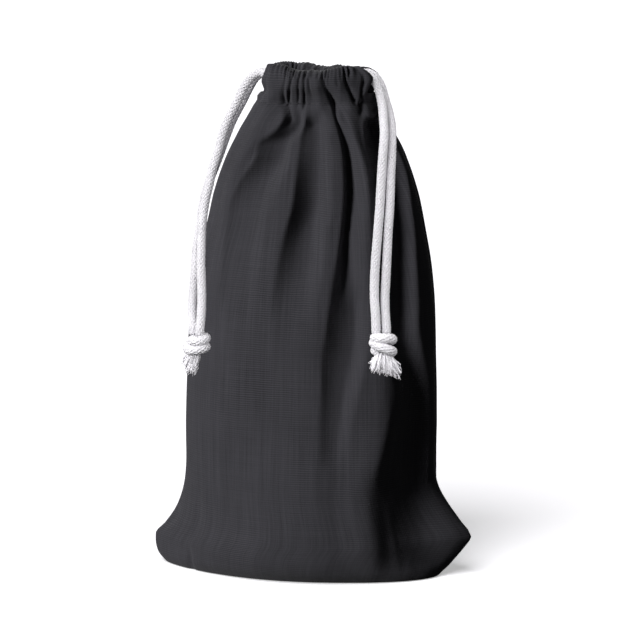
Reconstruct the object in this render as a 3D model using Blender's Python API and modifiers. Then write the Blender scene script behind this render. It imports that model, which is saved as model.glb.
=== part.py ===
"""Cotton drawstring bag that stands filled: one cloth shell and its two drawstrings.

Metres, +Z up. The bag stands on z = 0 with its middle over the origin. Its front faces -Y
and its side seams run up at -X and +X. Tables are in millimetres, and MM turns them into metres.
"""
import math
from collections import namedtuple

import bmesh
import bpy
import numpy as np
from mathutils import Vector

MM = 0.001

# The cloth
CLOTH = 1.2             # thickness of the shell
COLUMNS = 44            # columns of the mesh across each panel, seam to seam
SEAM_SPREAD = 2.2       # how far the two panels stand off each other beside a side seam
SOLE_SHRINK = (0.965, 0.93)     # flat sole, as a share of the outline where the wall turns up

# The casing, the sewn channel round the mouth that the drawstrings run through
MOUTH_X = 2.0                   # middle of the mouth, which sits a little to the right
CHANNEL_STRAIGHT = 13.25        # half the straight run of the channel's middle line
CHANNEL_RADIUS = 14.25          # radius of its round ends
STITCH_HEIGHT = 279.5           # stitch line that closes the casing
SLIT_COLUMNS = 5                # columns left open each side of a side seam
END_FLARE = 1.0                 # how far the open ends of the casing flare outward
PLEAT_DEPTH = 1.25              # amplitude of the gathers, in and out
PLEAT_FADE = 46.0               # height over which the gathers die away below the stitches
RIM_WAVE = 0.8                  # rise and fall of the rim over the gathers
RIM_BLEND = 5.0                 # height over which that rise and fall sets in

# The drawstrings: each leaves the casing high on its own side and passes low on the other
CORD_DIAMETER = 5.6
UPPER_LEVEL = 295.4
LOWER_LEVEL = 289.3
CROSSING = 13.0                 # half the length over which the two cords trade levels
CROSSING_ROOM = 1.14            # how much wider apart they wind there
CROSSING_BULGE = 3.4            # how far both walls of the casing stand off the crossing
LEAVE_ANGLE = 40.0              # how far round the end a strand follows the channel, in degrees
KNOT_LEAD = 3.0                 # straight drop of each strand into its knot
GAP = 0.3                       # gap between neighbouring pieces
RING_SPACING = 6.0              # spacing of the cord's points in the casing
STRAND_SPACING = 11.0           # and along the free strands

# Knots and frayed ends
KNOT_RADIUS = 8.2
KNOT_NECK = 7.0                 # radius of the flat where the strands go in
KNOT_WAIST = 7.0                # radius between its two wraps
KNOT_SIDES = 14
FRAY_NECK = 4.4
FRAY_THICKNESS = 4.4            # half the tuft's thickness at its end, off the cloth

Section = namedtuple("Section", "z left right front back edge_left edge_right")
# Reach of the cloth's middle surface at each height. An edge of 1 is a round end, 2.5 a flat ear.
SECTIONS = (
    Section(1.6, 91.5, 79.0, 38.5, 38.5, 1.7, 0.95),
    Section(5.0, 94.6, 82.6, 43.0, 43.0, 1.9, 1.2),
    Section(10.5, 96.6, 87.4, 46.6, 46.4, 2.2, 1.7),
    Section(17.0, 96.8, 92.6, 48.6, 48.4, 2.2, 2.1),
    Section(24.0, 90.8, 96.8, 49.4, 49.2, 2.0, 2.3),
    Section(33.0, 84.4, 90.4, 49.8, 49.6, 1.7, 2.1),
    Section(44.0, 79.8, 82.2, 49.9, 49.6, 1.35, 1.6),
    Section(56.0, 77.0, 75.6, 49.8, 49.4, 1.15, 1.2),
    Section(90.0, 76.0, 75.0, 49.4, 49.0, 1.0, 1.0),
    Section(132.0, 74.4, 74.4, 48.6, 48.2, 1.0, 1.0),
    Section(162.0, 72.4, 73.6, 47.2, 47.0, 1.0, 1.0),
    Section(187.0, 68.0, 71.0, 45.0, 45.2, 1.0, 1.0),
    Section(209.0, 62.0, 67.0, 42.0, 42.4, 1.0, 1.0),
    Section(228.0, 57.6, 63.0, 38.4, 39.0, 1.0, 1.0),
    Section(245.0, 51.6, 57.4, 34.4, 34.8, 1.0, 1.0),
    Section(259.0, 44.8, 51.0, 30.0, 30.4, 1.0, 1.0),
    Section(270.0, 38.4, 43.0, 25.4, 25.8, 1.0, 0.95),
)

CasingRow = namedtuple("CasingRow", "offset rise")
# Up the outside of the casing, over the rim and down the hem. Offset is outward from the
# channel's middle line, and rise is above the stitches.
CASING = (
    CasingRow(3.6, 0.0),
    CasingRow(5.1, 4.5),
    CasingRow(5.6, 10.5),
    CasingRow(5.2, 16.9),
    CasingRow(2.5, 20.7),
    CasingRow(-2.5, 20.7),
    CasingRow(-5.2, 16.9),
    CasingRow(-5.6, 10.5),
    CasingRow(-4.4, 4.5),
    CasingRow(1.6, 0.8),
)
BULGE_RISE = (4.0, 10.0)        # the crossing pushes the walls out between these rises and up

Fold = namedtuple("Fold", "panel path half_width depth")
# The main folds of the body. A path gives (height, x) from the top down; depth is outward.
FOLDS = (
    Fold("front", ((275, 4.0), (237, 1.5), (208, -3.0), (180, -5.5), (140, -8.0)), 13, -5.0),
    Fold("front", ((280, 16.5), (254, 26.0), (225, 27.7), (186, 26.3), (151, 23.0), (80, 21.5)), 8, -5.5),
    Fold("front", ((278, 23.5), (242, 36.0), (214, 38.5), (165, 39.0)), 7, 1.4),
    Fold("front", ((276, 33.5), (250, 44.0), (215, 49.0), (170, 51.0)), 9, -3.4),
    Fold("front", ((279, -8.5), (256, -23.0), (224, -35.0), (166, -37.0), (136, -37.0)), 11, -4.2),
    Fold("front", ((140, 60.0), (104, 54.5), (66, 54.5), (16, 49.6)), 14, -3.0),
    Fold("back", ((276, -20.0), (244, -30.0), (200, -36.0), (146, -38.0)), 12, -4.6),
    Fold("back", ((277, 0.0), (238, -4.0), (194, -3.0), (116, 3.0)), 12, -4.8),
    Fold("back", ((276, 21.0), (242, 30.0), (200, 33.0), (154, 32.0)), 11, -4.4),
    Fold("back", ((136, 46.0), (88, 48.0), (38, 44.0)), 14, -2.4),
)
FOLD_FADE = 26.0        # height over which each fold rises and dies away at its ends

# Where the valleys of the gathers fall across each panel, from the left seam (0) to the right (1)
PLEAT_VALLEYS = {
    "front": (0.0, 0.235, 0.335, 0.425, 0.515, 0.645, 0.765, 1.0),
    "back": (0.0, 0.225, 0.350, 0.465, 0.560, 0.680, 0.780, 1.0),
}

# Each free strand, from the casing's slit down to the top of its knot
LEFT_FRONT_STRAND = (
    (-24.6, -8.0, 295.8), (-29.6, -6.2, 296.4), (-34.8, -5.8, 293.6), (-38.5, -6.0, 288.5),
    (-43.4, -6.0, 279.0), (-48.3, -6.0, 269.6), (-52.0, -6.2, 260.1), (-54.4, -7.2, 250.6),
    (-56.8, -10.0, 241.5), (-58.6, -12.2, 232.0), (-60.2, -15.2, 223.0), (-61.0, -18.4, 214.0),
    (-61.0, -22.0, 205.0), (-60.4, -25.4, 195.5), (-59.8, -28.6, 186.5), (-58.8, -31.6, 177.5),
    (-57.8, -34.8, 168.5), (-57.1, -38.4, 159.0), (-56.9, -43.0, 148.6),
)
LEFT_BACK_STRAND = (
    (-24.6, 8.0, 295.8), (-29.6, 5.8, 296.2), (-34.6, 5.2, 293.2), (-38.2, 5.0, 287.8),
    (-42.9, 4.2, 278.4), (-47.6, 2.2, 269.1), (-51.2, 0.2, 259.7), (-54.4, -1.0, 250.2),
    (-57.6, -3.0, 240.8), (-61.0, -5.0, 231.5), (-63.2, -7.2, 222.1), (-64.2, -10.6, 213.0),
    (-64.4, -14.6, 203.9), (-64.8, -18.6, 194.8), (-64.6, -22.6, 185.8), (-64.6, -25.6, 176.7),
    (-64.8, -28.0, 167.5), (-64.2, -32.0, 158.3), (-61.8, -39.2, 148.6),
)
RIGHT_FRONT_STRAND = (
    (28.6, -8.0, 295.8), (33.4, -6.4, 296.2), (38.0, -6.0, 293.6), (41.0, -6.0, 288.8),
    (43.0, -6.8, 282.4), (44.8, -10.4, 275.8), (46.4, -15.6, 269.2), (47.7, -20.4, 262.6),
    (48.0, -23.9, 255.9), (47.9, -26.0, 249.2), (47.8, -27.6, 242.4), (47.7, -29.2, 235.6),
    (47.6, -32.2, 222.0), (47.1, -35.1, 208.6), (46.5, -37.6, 195.0), (46.1, -39.8, 181.4),
    (46.6, -42.4, 170.0), (47.9, -45.4, 161.0), (48.5, -47.0, 153.8),
)
RIGHT_BACK_STRAND = (
    (28.6, 8.0, 295.8), (33.2, 5.8, 296.2), (37.6, 5.2, 293.6), (40.8, 4.8, 288.6),
    (43.4, 2.2, 282.1), (46.5, -2.8, 275.5), (49.3, -8.4, 268.8), (50.9, -14.0, 262.1),
    (51.7, -18.1, 255.4), (52.1, -21.0, 248.8), (52.2, -23.4, 242.2), (52.4, -25.4, 235.4),
    (52.7, -28.8, 222.0), (52.4, -31.8, 208.4), (52.3, -34.2, 195.0), (52.1, -36.6, 181.0),
    (52.0, -38.6, 170.0), (52.7, -41.2, 161.0), (53.9, -44.1, 153.8),
)

Knot = namedtuple("Knot", "middle height turn tail_length tail_width tail_start tail_lean")
# Turn is the angle in plan of the cloth behind the knot; the tuft spreads and leans along it.
LEFT_KNOT = Knot((-59.2, -41.2), 11.4, -38.0, 12.0, 5.0, -2.4, -5.0)
RIGHT_KNOT = Knot((52.2, -45.0), 13.2, 27.5, 13.2, 9.6, 0.6, 0.6)


def new_material(name, colour, roughness):
    """A plain Principled material."""
    material = bpy.data.materials.new(name)
    material.use_nodes = True
    shader = material.node_tree.nodes["Principled BSDF"]
    shader.inputs["Base Color"].default_value = (*colour, 1.0)
    shader.inputs["Roughness"].default_value = roughness
    shader.inputs["Metallic"].default_value = 0.0
    return material


def new_object(name, data, collection, material):
    """Link a mesh or curve to the collection under the name of its sub-part."""
    piece = bpy.data.objects.new(name, data)
    collection.objects.link(piece)
    data.materials.append(material)
    return piece


def ease(value):
    """Smooth step from 0 to 1."""
    value = np.clip(value, 0.0, 1.0)
    return value * value * (3.0 - 2.0 * value)


def panel_outline(section, depth, samples=721):
    """One panel's line in plan at one height, from the left seam to the right."""
    sine = np.sin(np.linspace(-math.pi / 2, math.pi / 2, samples))
    cosine = np.sqrt(np.clip(1.0 - sine * sine, 0.0, 1.0))
    reach = np.where(sine < 0.0, section.left, section.right)
    edge = section.edge_left + (section.edge_right - section.edge_left) * ease((sine + 1.0) / 2.0)
    spread = SEAM_SPREAD * np.clip(edge - 1.0, 0.0, 1.0) * np.sqrt(1.0 - np.abs(sine) ** 16)
    return np.column_stack((reach * sine, depth * cosine ** edge + spread))


def even_points(line, count):
    """Points an even distance apart along a line, with the distances."""
    steps = np.linalg.norm(np.diff(line, axis=0), axis=1)
    along = np.concatenate(((0.0,), np.cumsum(steps)))
    wanted = np.linspace(0.0, along[-1], count)
    points = np.column_stack([np.interp(wanted, along, line[:, axis]) for axis in range(line.shape[1])])
    return points, wanted


def outward_normals(ring):
    """Normals in plan of a closed ring that runs left, front, right, back."""
    along = np.roll(ring, -1, axis=0) - np.roll(ring, 1, axis=0)
    normals = np.column_stack((along[:, 1], -along[:, 0]))
    return normals / np.linalg.norm(normals, axis=1)[:, None]


def fold_shift(panel, line, distances, height):
    """How far the folds move each column of a panel outward at one height."""
    shift = np.zeros(len(line))
    for fold in FOLDS:
        heights = [point[0] for point in fold.path]
        top, bottom = heights[0], heights[-1]
        if fold.panel != panel or not bottom < height < top:
            continue
        fold_x = np.interp(height, heights[::-1], [point[1] for point in fold.path][::-1])
        away = np.abs(distances - np.interp(fold_x, line[:, 0], distances)) / fold.half_width
        strength = ease((top - height) / FOLD_FADE) * ease((height - bottom) / FOLD_FADE)
        shift += fold.depth * strength * np.where(away < 1.0, 0.5 + 0.5 * np.cos(math.pi * away), 0.0)
    return shift


def pleat_shift():
    """How far the gathers move each column of the ring outward, from -1 to 1."""
    share = np.linspace(0.0, 1.0, COLUMNS + 1)
    waves = {}
    for panel, valleys in PLEAT_VALLEYS.items():
        phase = np.interp(share, valleys, range(len(valleys)))
        waves[panel] = -np.cos(2.0 * math.pi * phase)
        outer = (share < valleys[1] / 2.0) | (share > (1.0 + valleys[-2]) / 2.0)
        waves[panel][outer] = 1.0
    return np.concatenate((waves["front"][:-1], waves["back"][::-1][:-1]))


def body_ring(section, pleats):
    """The cloth's middle line at one height of the body, as a ring of points."""
    lines = {}
    shifts = {}
    for panel, depth in (("front", section.front), ("back", section.back)):
        lines[panel], distances = even_points(panel_outline(section, depth), COLUMNS + 1)
        shifts[panel] = fold_shift(panel, lines[panel], distances, section.z)
    front = lines["front"] * (1.0, -1.0)
    ring = np.concatenate((front[:-1], lines["back"][::-1][:-1]))
    shift = np.concatenate((shifts["front"][:-1], shifts["back"][::-1][:-1]))
    shift += pleats * PLEAT_DEPTH * ease(1.0 - (STITCH_HEIGHT - section.z) / PLEAT_FADE)
    ring = ring + outward_normals(ring) * shift[:, None]
    return np.column_stack((ring, np.full(len(ring), section.z)))


def channel_ring():
    """The middle line of the casing's channel, column by column, with its outward normals."""
    bend = np.linspace(0.0, math.pi / 2, 91)
    quarter = np.column_stack((CHANNEL_STRAIGHT + CHANNEL_RADIUS * np.sin(bend),
                               CHANNEL_RADIUS * np.cos(bend)))
    panel = np.concatenate((quarter[::-1] * (-1.0, 1.0), quarter))
    points, _ = even_points(panel, COLUMNS + 1)
    ring = np.concatenate((points[:-1] * (1.0, -1.0), points[::-1][:-1]))
    centres = np.column_stack((np.clip(ring[:, 0], -CHANNEL_STRAIGHT, CHANNEL_STRAIGHT),
                               np.zeros(len(ring))))
    normals = ring - centres
    return ring, normals / np.linalg.norm(normals, axis=1)[:, None]


def casing_ring(row, pleats):
    """The cloth's middle line along one row of the casing, as a ring of points."""
    ring, normals = channel_ring()
    seam_steps = np.minimum(np.arange(2 * COLUMNS) % COLUMNS, COLUMNS - np.arange(2 * COLUMNS) % COLUMNS)
    flare = END_FLARE * ease((2 * SLIT_COLUMNS - seam_steps) / SLIT_COLUMNS)
    crossing = ease(1.5 - np.abs(ring[:, 0]) / CROSSING)
    crossing *= ease((row.rise - BULGE_RISE[0]) / (BULGE_RISE[1] - BULGE_RISE[0]))
    outside = row.offset / max(step.offset for step in CASING)
    shift = row.offset + pleats * PLEAT_DEPTH + (flare + CROSSING_BULGE * crossing) * outside
    height = STITCH_HEIGHT + row.rise
    heights = height + pleats * RIM_WAVE * ease((height - UPPER_LEVEL) / RIM_BLEND)
    ring = ring + normals * shift[:, None] + (MOUTH_X, 0.0)
    return np.column_stack((ring, heights))


def add_ring(shell, ring):
    """Add one ring of vertices to the shell."""
    return [shell.verts.new(Vector(point) * MM) for point in ring]


def join_rings(shell, lower, upper, columns):
    """Fill the strip between two rings, over the columns given."""
    for column in columns:
        after = (column + 1) % len(lower)
        shell.faces.new((lower[column], lower[after], upper[after], upper[column]))


def bag_surface():
    """The cloth as one open surface: flat sole, body, casing and hem."""
    pleats = pleat_shift()
    shell = bmesh.new()
    first = body_ring(SECTIONS[0], pleats)
    sole = np.column_stack((first[:, :2] * SOLE_SHRINK, np.full(len(first), CLOTH / 2.0)))
    rings = [add_ring(shell, sole)]
    rings += [add_ring(shell, body_ring(section, pleats)) for section in SECTIONS]
    rings.append(add_ring(shell, casing_ring(CASING[0], pleats)))
    every_column = range(2 * COLUMNS)
    for lower, upper in zip(rings, rings[1:]):
        join_rings(shell, lower, upper, every_column)
    shell.faces.new(rings[0][::-1])

    cased = [column for column in every_column
             if SLIT_COLUMNS <= column % COLUMNS < COLUMNS - SLIT_COLUMNS]
    lower = rings[-1]
    for row in CASING[1:]:
        upper = add_ring(shell, casing_ring(row, pleats))
        join_rings(shell, lower, upper, cased)
        lower = upper
    loose = [vertex for vertex in shell.verts if not vertex.link_faces]
    bmesh.ops.delete(shell, geom=loose, context="VERTS")

    mesh = bpy.data.meshes.new("bag")
    shell.to_mesh(mesh)
    shell.free()
    return mesh


def make_bag(collection):
    """The bag's cloth, given its thickness and a sole that lies truly flat."""
    cloth = new_material("charcoal_cotton", (0.045, 0.044, 0.052), 0.92)
    draft = new_object("bag_draft", bag_surface(), collection, cloth)
    solidify = draft.modifiers.new("Thickness", "SOLIDIFY")
    solidify.thickness = CLOTH * MM
    solidify.offset = 0.0
    solidify.use_even_offset = True
    mesh = bpy.data.meshes.new_from_object(draft.evaluated_get(bpy.context.evaluated_depsgraph_get()))
    bpy.data.objects.remove(draft)
    for vertex in mesh.vertices:
        vertex.co.z = max(vertex.co.z, 0.0)
    mesh.name = "bag"
    bag = bpy.data.objects.new("bag", mesh)
    collection.objects.link(bag)
    mesh.shade_smooth()
    return bag


def channel_route(side):
    """Points round the channel, from the front strand's end round the far end to the back's.

    Seen from its own side the cord runs high, and about the middle of each panel it winds half
    a turn inside the other cord to run low round the far end, or outside it for the right one.
    """
    leave = math.radians(LEAVE_ANGLE)
    near = [(CHANNEL_STRAIGHT + CHANNEL_RADIUS * math.sin(angle), CHANNEL_RADIUS * math.cos(angle))
            for angle in np.linspace(leave, 0.0, 3)]
    straight = [(share * CHANNEL_STRAIGHT, CHANNEL_RADIUS) for share in (0.6, 0.3, 0.0, -0.3, -0.6)]
    far = [(-CHANNEL_STRAIGHT - CHANNEL_RADIUS * math.sin(angle), CHANNEL_RADIUS * math.cos(angle))
           for angle in np.linspace(0.0, math.pi / 2, 5)]
    middle_level = (UPPER_LEVEL + LOWER_LEVEL) / 2.0
    half_step = (UPPER_LEVEL - LOWER_LEVEL) / 2.0
    half = []
    for along, across in near + straight + far:
        turn = math.pi * ease((CROSSING - along) / (2.0 * CROSSING))
        apart = half_step * (1.0 + (CROSSING_ROOM - 1.0) * math.sin(turn))
        rise = apart * math.cos(turn)
        half.append((MOUTH_X + side * along, across + side * apart * math.sin(turn), middle_level + rise))
    front = [(x, -y, z) for x, y, z in half]
    back = half[-2::-1]
    return front, back


def smooth_line(points, samples=24):
    """A smooth curve through the points, by centripetal Catmull-Rom spans."""
    points = [np.array(point, dtype=float) for point in points]
    ends = [2.0 * points[0] - points[1]] + points + [2.0 * points[-1] - points[-2]]
    line = [points[0]]
    for before, start, end, after in zip(ends, ends[1:], ends[2:], ends[3:]):
        knots = [0.0]
        for one, two in ((before, start), (start, end), (end, after)):
            knots.append(knots[-1] + max(np.linalg.norm(two - one), 1e-6) ** 0.5)
        for at in np.linspace(knots[1], knots[2], samples + 1)[1:]:
            a1 = ((knots[1] - at) * before + (at - knots[0]) * start) / (knots[1] - knots[0])
            a2 = ((knots[2] - at) * start + (at - knots[1]) * end) / (knots[2] - knots[1])
            a3 = ((knots[3] - at) * end + (at - knots[2]) * after) / (knots[3] - knots[2])
            b1 = ((knots[2] - at) * a1 + (at - knots[0]) * a2) / (knots[2] - knots[0])
            b2 = ((knots[3] - at) * a2 + (at - knots[1]) * a3) / (knots[3] - knots[1])
            line.append(((knots[2] - at) * b1 + (at - knots[1]) * b2) / (knots[2] - knots[1]))
    return np.array(line)


def cord_points(front_strand, back_strand, side):
    """The cord's own points: close together in the casing, wider apart on the free strands."""
    front, back = channel_route(side)
    route = list(front_strand[::-1]) + front + back + list(back_strand)
    line = smooth_line(route)
    steps = np.linalg.norm(np.diff(line, axis=0), axis=1)
    along = np.concatenate(((0.0,), np.cumsum(steps)))
    cased = along[line[:, 2] > LOWER_LEVEL - GAP]
    stations = np.concatenate((
        np.linspace(0.0, cased[0], round(cased[0] / STRAND_SPACING) + 1)[:-1],
        np.linspace(cased[0], cased[-1], round((cased[-1] - cased[0]) / RING_SPACING) + 1)[:-1],
        np.linspace(cased[-1], along[-1], round((along[-1] - cased[-1]) / STRAND_SPACING) + 1)))
    points = np.column_stack([np.interp(stations, along, line[:, axis]) for axis in range(3)])
    lead = np.array((0.0, 0.0, KNOT_LEAD))
    return np.vstack((points[0] - lead, points, points[-1] - lead))


def make_drawstring(name, front_strand, back_strand, side, collection, material):
    """One drawstring: knot to casing, once round the channel, and back down to the knot."""
    points = cord_points(front_strand, back_strand, side)
    curve = bpy.data.curves.new(name, "CURVE")
    curve.dimensions = "3D"
    curve.bevel_depth = CORD_DIAMETER / 2.0 * MM
    curve.bevel_resolution = 2
    curve.use_fill_caps = True
    spline = curve.splines.new("POLY")
    spline.points.add(len(points) - 1)
    for spline_point, point in zip(spline.points, points):
        spline_point.co = (*(point * MM), 1.0)
    return new_object(name, curve, collection, material)


def turned_piece(name, profile, collection, material):
    """A closed turned piece about a vertical axis from a profile that runs down its outer side."""
    mesh = bpy.data.meshes.new(name)
    mesh.from_pydata([(radius * MM, 0.0, z * MM) for radius, z in profile],
                     [(index, index + 1) for index in range(len(profile) - 1)], [])
    piece = new_object(name, mesh, collection, material)
    screw = piece.modifiers.new("Turn", "SCREW")
    screw.angle = 2.0 * math.pi
    screw.steps = KNOT_SIDES
    screw.render_steps = KNOT_SIDES
    screw.use_merge_vertices = True
    screw.merge_threshold = 0.00001
    turned = bpy.data.meshes.new_from_object(piece.evaluated_get(bpy.context.evaluated_depsgraph_get()))
    piece.modifiers.remove(screw)
    piece.data = turned
    return piece


def make_knot(side_name, knot, top, collection, material):
    """The overhand knot that ties a drawstring's two ends: two wraps, one above the other."""
    half = knot.height / 2.0
    profile = ((0.0, half), (KNOT_NECK, half), (KNOT_RADIUS - 0.6, half * 0.78), (KNOT_RADIUS, half * 0.46),
               (KNOT_WAIST, 0.0), (KNOT_RADIUS, -half * 0.46), (KNOT_RADIUS - 0.6, -half * 0.78),
               (KNOT_NECK, -half), (0.0, -half))
    piece = turned_piece("knot_" + side_name, profile, collection, material)
    piece.location = Vector((*knot.middle, top - GAP - half)) * MM
    return piece


def make_fray(side_name, knot, top, collection, material):
    """The frayed ends below a knot: a tuft that widens downward and leans where it hangs."""
    length = knot.tail_length
    widths = ((0.0, FRAY_NECK), (0.25, FRAY_NECK + 0.4), (0.6, (FRAY_NECK + knot.tail_width) / 2.0),
              (0.95, knot.tail_width), (1.0, 0.9 * knot.tail_width))
    profile = [(0.0, 0.0)] + [(width, -fall * length) for fall, width in widths] + [(0.0, -length)]
    piece = turned_piece("fray_" + side_name, profile, collection, material)
    flatten = FRAY_THICKNESS / knot.tail_width
    for vertex in piece.data.vertices:
        fall = min(-vertex.co.z / (length * MM), 1.0)
        vertex.co.x += (knot.tail_start + knot.tail_lean * fall ** 1.5) * MM
        vertex.co.y *= 1.0 + (flatten - 1.0) * fall
    piece.rotation_euler.z = math.radians(knot.turn)
    piece.location = Vector((*knot.middle, top - 2.0 * GAP - knot.height)) * MM
    return piece


def main():
    for old in list(bpy.data.objects):
        bpy.data.objects.remove(old)
    collection = bpy.data.collections.new("cotton_drawstring_bag")
    bpy.context.scene.collection.children.link(collection)
    make_bag(collection)
    cord = new_material("white_cotton_cord", (0.80, 0.79, 0.82), 0.88)
    strands = (
        ("left", LEFT_FRONT_STRAND, LEFT_BACK_STRAND, -1, LEFT_KNOT),
        ("right", RIGHT_FRONT_STRAND, RIGHT_BACK_STRAND, 1, RIGHT_KNOT),
    )
    for side_name, front, back, side, knot in strands:
        make_drawstring("drawstring_" + side_name, front, back, side, collection, cord)
        make_knot(side_name, knot, front[-1][2] - KNOT_LEAD, collection, cord)
        make_fray(side_name, knot, front[-1][2] - KNOT_LEAD, collection, cord)


main()
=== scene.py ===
import math

import bpy
import numpy as np
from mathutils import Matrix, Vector, noise


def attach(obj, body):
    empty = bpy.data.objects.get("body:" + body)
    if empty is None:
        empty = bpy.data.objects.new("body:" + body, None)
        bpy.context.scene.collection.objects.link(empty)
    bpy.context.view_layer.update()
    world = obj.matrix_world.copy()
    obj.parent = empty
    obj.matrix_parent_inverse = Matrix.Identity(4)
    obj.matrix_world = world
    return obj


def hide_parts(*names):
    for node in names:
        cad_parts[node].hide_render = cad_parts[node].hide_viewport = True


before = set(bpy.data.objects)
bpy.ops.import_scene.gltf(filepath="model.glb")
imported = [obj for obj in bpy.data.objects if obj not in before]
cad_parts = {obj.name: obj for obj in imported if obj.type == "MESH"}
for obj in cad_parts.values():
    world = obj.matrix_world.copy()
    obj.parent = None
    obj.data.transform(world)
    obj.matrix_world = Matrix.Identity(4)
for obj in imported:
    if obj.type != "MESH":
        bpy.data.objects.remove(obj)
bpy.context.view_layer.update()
scene = bpy.context.scene
mm = 0.001
fullTurn = 2.0 * math.pi
print("frame loaded:", ", ".join(sorted(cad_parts)))


def ease(value):
    value = np.clip(value, 0.0, 1.0)
    return value * value * (3.0 - 2.0 * value)


def between(at, low, high, first, second):
    # the mix of two points where a value runs from low to high
    return ((high - at) * first + (at - low) * second) / (high - low)


def smoothLine(points, samples=24):
    # centripetal Catmull-Rom, the same curve that the solid cords follow
    points = [np.array(point, dtype=float) for point in points]
    ends = [2.0 * points[0] - points[1]] + points + [2.0 * points[-1] - points[-2]]
    line = [points[0]]
    for four in zip(ends, ends[1:], ends[2:], ends[3:]):
        t = [0.0]
        for one, two in zip(four, four[1:]):
            t.append(t[-1] + max(np.linalg.norm(two - one), 1e-9) ** 0.5)
        for at in np.linspace(t[1], t[2], samples + 1)[1:]:
            a, b, c = (between(at, t[k], t[k + 1], four[k], four[k + 1]) for k in range(3))
            line.append(between(at, t[1], t[2], between(at, t[0], t[2], a, b), between(at, t[1], t[3], b, c)))
    return np.array(line)


def smoothTable(rows, at):
    # smooth values between the rows of a table whose first column rises
    rows = np.array(rows, dtype=float)
    key, values = rows[:, 0], rows[:, 1:]
    slope = np.diff(values, axis=0) / np.diff(key)[:, None]
    tangent = np.vstack((slope[:1], (slope[1:] + slope[:-1]) / 2.0, slope[-1:]))
    tangent[1:-1][slope[1:] * slope[:-1] < 0.0] = 0.0
    at = np.clip(np.atleast_1d(at), key[0], key[-1])
    index = np.clip(np.searchsorted(key, at) - 1, 0, len(key) - 2)
    span = (key[index + 1] - key[index])[:, None]
    t = (at - key[index])[:, None] / span
    return ((1 + 2 * t) * (1 - t) ** 2 * values[index] + t * (1 - t) ** 2 * span * tangent[index]
            + t * t * (3 - 2 * t) * values[index + 1] + t * t * (t - 1) * span * tangent[index + 1])


def alongLine(line):
    # distance from the line's start to each of its points
    return np.concatenate(((0.0,), np.cumsum(np.linalg.norm(np.diff(line, axis=0), axis=1))))


def lengthOf(line):
    return float(alongLine(line)[-1])


def pointsAt(line, shares):
    # the line's points at shares of its length, from 0 to 1
    along = alongLine(line)
    return np.column_stack([np.interp(shares * along[-1], along, values) for values in line.T])


def newObject(name, data):
    thing = bpy.data.objects.new(name, data)
    scene.collection.objects.link(thing)
    return thing


def aimedObject(name, data, lookAt, azimuth, elevation, distance):
    # a camera or a lamp that looks at a point from a compass direction and a height
    a, e = math.radians(azimuth), math.radians(elevation)
    back = Vector((math.sin(a) * math.cos(e), -math.cos(a) * math.cos(e), math.sin(e)))
    thing = newObject(name, data)
    thing.location = Vector(lookAt) + back * distance
    thing.rotation_mode = "QUATERNION"
    thing.rotation_quaternion = (-back).to_track_quat("-Z", "Y")
    return thing


def pathObject(name, line):
    # a bare polyline that a node tree turns into cord or thread
    mesh = bpy.data.meshes.new(name)
    mesh.from_pydata([tuple(point) for point in line], [(i, i + 1) for i in range(len(line) - 1)], [])
    return newObject(name, mesh)


camera = {
    "lookAt": (0.0005, 0.0213, 0.1473),
    "azimuth": 12.5,
    "elevation": 8.0,
    "distance": 1.70,
    "lens": 159.4,
    "sensor": 36.0,
}
cameraData = bpy.data.cameras.new("camera")
cameraData.lens = camera["lens"]
cameraData.sensor_width = camera["sensor"]
scene.camera = aimedObject("camera", cameraData, camera["lookAt"], camera["azimuth"], camera["elevation"],
                           camera["distance"])
print("camera placed")


class Nodes:
    # adds nodes to a tree and wires them, so that the trees below stay short
    def __init__(self, tree):
        self.tree = tree

    def link(self, socket, target):
        self.tree.links.new(socket, target)

    def add(self, kind, values=None, **settings):
        node = self.tree.nodes.new(kind)
        for key, value in settings.items():
            setattr(node, key, value)
        for key, value in (values or {}).items():
            if isinstance(value, bpy.types.NodeSocket):
                self.link(value, node.inputs[key])
            else:
                node.inputs[key].default_value = value
        return node

    def geo(self, kind, values=None, **settings):
        return self.add("GeometryNode" + kind, values, **settings).outputs[0]

    def copies(self, curve, amount):
        return self.add("GeometryNodeDuplicateElements", {"Geometry": curve, "Amount": amount},
                        domain="SPLINE").outputs

    def marked(self, geometry, name, value):
        # stores a value on every point under a name that the materials read
        return self.geo("StoreNamedAttribute", {"Geometry": geometry, "Name": name, "Value": value},
                        data_type="FLOAT", domain="POINT")

    def math(self, operation, *values):
        return self.add("ShaderNodeMath", dict(enumerate(values)), operation=operation).outputs[0]

    def times(self, first, *others):
        for other in others:
            first = self.math("MULTIPLY", first, other)
        return first

    def vector(self, operation, *values):
        return self.add("ShaderNodeVectorMath", dict(enumerate(values)), operation=operation).outputs[0]

    def scaled(self, vector, scale):
        return self.add("ShaderNodeVectorMath", {0: vector, "Scale": scale}, operation="SCALE").outputs[0]

    def xyz(self, x, y, z):
        return self.add("ShaderNodeCombineXYZ", {0: x, 1: y, 2: z}).outputs[0]

    def noise(self, vector, scale, detail, roughness=0.5):
        return self.add("ShaderNodeTexNoise", {"Vector": vector, "Scale": scale, "Detail": detail,
                                               "Roughness": roughness}).outputs

    def ranged(self, value, low, high, least=0.0):
        # the value's way from low to high, from the least to 1
        return self.add("ShaderNodeMapRange", {"Value": value, "From Min": low, "From Max": high,
                                               "To Min": least}).outputs["Result"]

    def blend(self, start, *parts):
        # the start plus each part's weighted distance from its own middle
        for value, middle, weight in parts:
            start = self.math("MULTIPLY_ADD", self.math("SUBTRACT", value, middle), weight, start)
        return start


socketTypes = {int: "Int", float: "Float"}


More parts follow.
